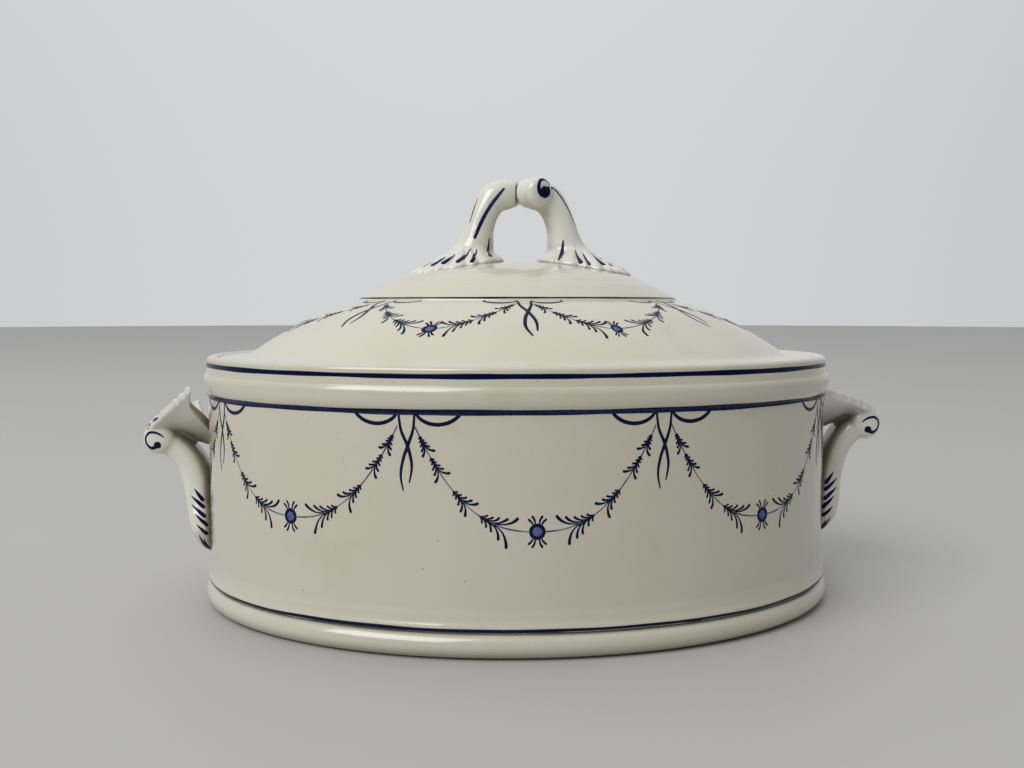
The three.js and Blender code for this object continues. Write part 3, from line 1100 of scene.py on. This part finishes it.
def cream_glaze(name, light, warm, hollow_shade, foot=False):
    """Cream glaze over earthenware, with mottling, stains, specks and fine crazing. It is darker in
    creases, where glaze pooled and as painted shade, and has painted shade in hollows by the
    share given. With foot it is worn off where the bowl stands."""
    nodes = Nodes(bpy.data.materials.new(name))
    where = nodes.add("ShaderNodeTexCoord").outputs["Object"]
    speck = specks(nodes, where)
    colour = nodes.mix(speck, mottled(nodes, where, light, warm), (0.2, 0.17, 0.11, 1))
    colour = nodes.mix(crazing(nodes, where), colour, (0.4, 0.34, 0.22, 1))
    # Painted shade: the colour is pulled towards a dark shade colour where the surface is closed in, in
    # creases (where glaze also pooled) and in hollows.
    for reach, most, shade in (
        (0.007, 0.4, (0.33, 0.28, 0.17, 1)),
        (0.03, hollow_shade, (0.19, 0.155, 0.09, 1)),
    ):
        open_air = nodes.add("ShaderNodeAmbientOcclusion", {"Distance": reach}, samples=6)
        painted_shade = nodes.maths("MULTIPLY", nodes.ramp(open_air.outputs["AO"], 0.6, 0.22), most)
        colour = nodes.mix(painted_shade, colour, shade)
    rough = nodes.maths("ADD", nodes.maths("MULTIPLY", nodes.noise(where, 30, 3.0), 0.16), 0.1)
    if foot:
        height = nodes.add("ShaderNodeSeparateXYZ", {0: where}).outputs[2]
        ragged = nodes.maths("MULTIPLY", nodes.noise(where, 90), 0.0006)
        bare = nodes.ramp(nodes.maths("ADD", height, ragged), 0.0011, 0.0007)
        colour = nodes.mix(bare, colour, (0.5, 0.41, 0.28, 1))
        rough = nodes.maths("ADD", rough, nodes.maths("MULTIPLY", bare, 0.6))
    nodes.feed(nodes.shader.inputs["Base Color"], colour)
    waves = nodes.maths("MULTIPLY", nodes.noise(where, 24, 2.0), 2.2)
    peel = nodes.maths("MULTIPLY", nodes.noise(where, 420, 2.0), 0.05)
    pits = nodes.maths("MULTIPLY", speck, -0.25)
    gloss(nodes, nodes.maths("ADD", nodes.maths("ADD", waves, peel), pits), rough, 1)
    return nodes.owner


def painted(nodes, where, colour):
    """A paint of this colour, a little glossy."""
    nodes.feed(nodes.shader.inputs["Base Color"], colour)
    rough = nodes.maths("ADD", nodes.maths("MULTIPLY", nodes.noise(where, 60, 2.0), 0.12), 0.12)
    gloss(nodes, nodes.noise(where, 300, 2.0), rough, 0.15)
    return nodes.owner


def cobalt_paint(name):
    """Blue under the glaze: navy where the brush was full, light blue where it was thin."""
    nodes = Nodes(bpy.data.materials.new(name))
    where = nodes.add("ShaderNodeTexCoord").outputs["Object"]
    load = nodes.add("ShaderNodeAttribute", attribute_name="load").outputs["Fac"]
    uneven = nodes.maths("MULTIPLY", nodes.maths("SUBTRACT", nodes.noise(where, 700, 3.0), 0.5), 0.4)
    load = nodes.maths("ADD", load, uneven, clamp=True)
    thin = nodes.mix(nodes.ramp(load, 0.1, 0.5), (0.18, 0.25, 0.47, 1), (0.035, 0.068, 0.22, 1))
    colour = nodes.mix(nodes.ramp(load, 0.4, 0.8), thin, (0.0018, 0.0055, 0.036, 1))
    return painted(nodes, where, colour)


def string_paint(name):
    """The grey-blue of the thin strings."""
    nodes = Nodes(bpy.data.materials.new(name))
    where = nodes.add("ShaderNodeTexCoord").outputs["Object"]
    worn = nodes.ramp(nodes.noise(where, 260, 3.0), 0.4, 0.65)
    colour = nodes.mix(worn, (0.06, 0.08, 0.13, 1), (0.2, 0.22, 0.28, 1))
    return painted(nodes, where, colour)


def plain_floor():
    nodes = Nodes(bpy.data.materials.new("pale_floor"))
    where = nodes.add("ShaderNodeTexCoord").outputs["Object"]
    tone = nodes.noise(where, 3.0, 2.0)
    colour = nodes.mix(tone, (0.49, 0.485, 0.475, 1), (0.52, 0.515, 0.505, 1))
    nodes.feed(nodes.shader.inputs["Base Color"], colour)
    nodes.shader.inputs["Roughness"].default_value = 0.55
    return nodes.owner


# ---- stage, light and camera ----


def build_floor():
    """A round pale floor, wide enough to reach the horizon."""
    sides, radius = 96, 6000
    angles = [math.tau * k / sides for k in range(sides)]
    rim = [Vector((radius * math.cos(a), radius * math.sin(a), 0)) for a in angles]
    mesh = bpy.data.meshes.new("floor")
    mesh.from_pydata([p * MM for p in rim], [], [tuple(range(sides))])
    mesh.materials.append(plain_floor())
    floor = bpy.data.objects.new("floor", mesh)
    bpy.context.scene.collection.objects.link(floor)


def add_light(name, place, size, power, tint):
    """A soft rectangular light that faces the tureen. Place and size are in millimetres."""
    lamp = bpy.data.lights.new(name, "AREA")
    lamp.shape = "RECTANGLE"
    lamp.size = size[0] * MM
    lamp.size_y = size[1] * MM
    lamp.energy = power
    lamp.color = tint
    light = bpy.data.objects.new(name, lamp)
    light.location = Vector(place) * MM
    aim = Vector((0, 0, 80)) * MM - light.location
    light.rotation_euler = aim.to_track_quat("-Z", "Y").to_euler()
    bpy.context.scene.collection.objects.link(light)


def build_light():
    """A room that is bright behind and overhead and dim in front, and a broad window, front left."""
    nodes = Nodes(bpy.data.worlds.new("studio"), "Background")
    way = nodes.add("ShaderNodeTexCoord").outputs["Generated"]
    _, y, z = nodes.add("ShaderNodeSeparateXYZ", {0: way}).outputs
    behind = nodes.maths("MULTIPLY", nodes.maths("POWER", nodes.maths("ADD", y, 1), 2), 0.15)
    overhead = nodes.maths("MULTIPLY", nodes.maths("POWER", nodes.maths("MAXIMUM", z, 0), 2), 0.58)
    strength = nodes.maths("ADD", nodes.maths("ADD", behind, overhead), 0.06)
    nodes.feed(nodes.shader.inputs["Color"], (0.98, 0.99, 1, 1))
    nodes.feed(nodes.shader.inputs["Strength"], strength)
    bpy.context.scene.world = nodes.owner
    add_light("window", (-1800, -1880, 2340), (2400, 2100), 70, (1, 0.99, 0.965))
    bpy.context.scene.view_settings.view_transform = "Standard"


def build_camera():
    """The photograph's view: a little over the rim, and from slightly left of the middle."""
    lens = bpy.data.cameras.new("camera")
    lens.sensor_width = 36
    lens.lens = 36.9
    lens.clip_start = 0.01
    camera = bpy.data.objects.new("camera", lens)
    camera.location = Vector((-29.7, -443.4, 120.2)) * MM
    camera.rotation_euler = (math.pi / 2 - 0.075, 0, -0.061)
    bpy.context.scene.collection.objects.link(camera)
    bpy.context.scene.camera = camera


# ---- the whole scene ----


def build_tureen():
    cobalt = cobalt_paint("cobalt_blue")
    build_bowl(cream_glaze("bowl_cream_glaze", *BOWL_CREAM, hollow_shade=0.2, foot=True))
    build_lid(cream_glaze("lid_cream_glaze", *LID_CREAM, hollow_shade=0.2))
    surfaces = build_handles(cream_glaze("handle_cream_glaze", *HANDLE_CREAM_AND_LIGHT, hollow_shade=0.95))

    bowl_lines, lid_lines = Paint(), Paint()
    for height, width, sway, load in BOWL_LINES:
        band(bowl_lines, wall_ground, WALL_SWAGS, WALL_LINE - height, width, sway, load)
    band(lid_lines, lid_ground, LID_SWAGS, *TIER_LINE)
    bowl_lines.finish("bowl_lines", "bowl", "bowl_glaze", cobalt)
    lid_lines.finish("lid_line", "lid", "lid_glaze", cobalt)

    string = string_paint("string_blue")
    paint_garlands("bowl", cobalt, string)
    paint_garlands("lid", cobalt, string)
    for side in ("right", "left"):
        paint_side_handle(surfaces["side_handle", side], side, cobalt)
        paint_lid_branch(surfaces["lid_handle", side], side, cobalt)


build_tureen()
build_floor()
build_light()
build_camera()
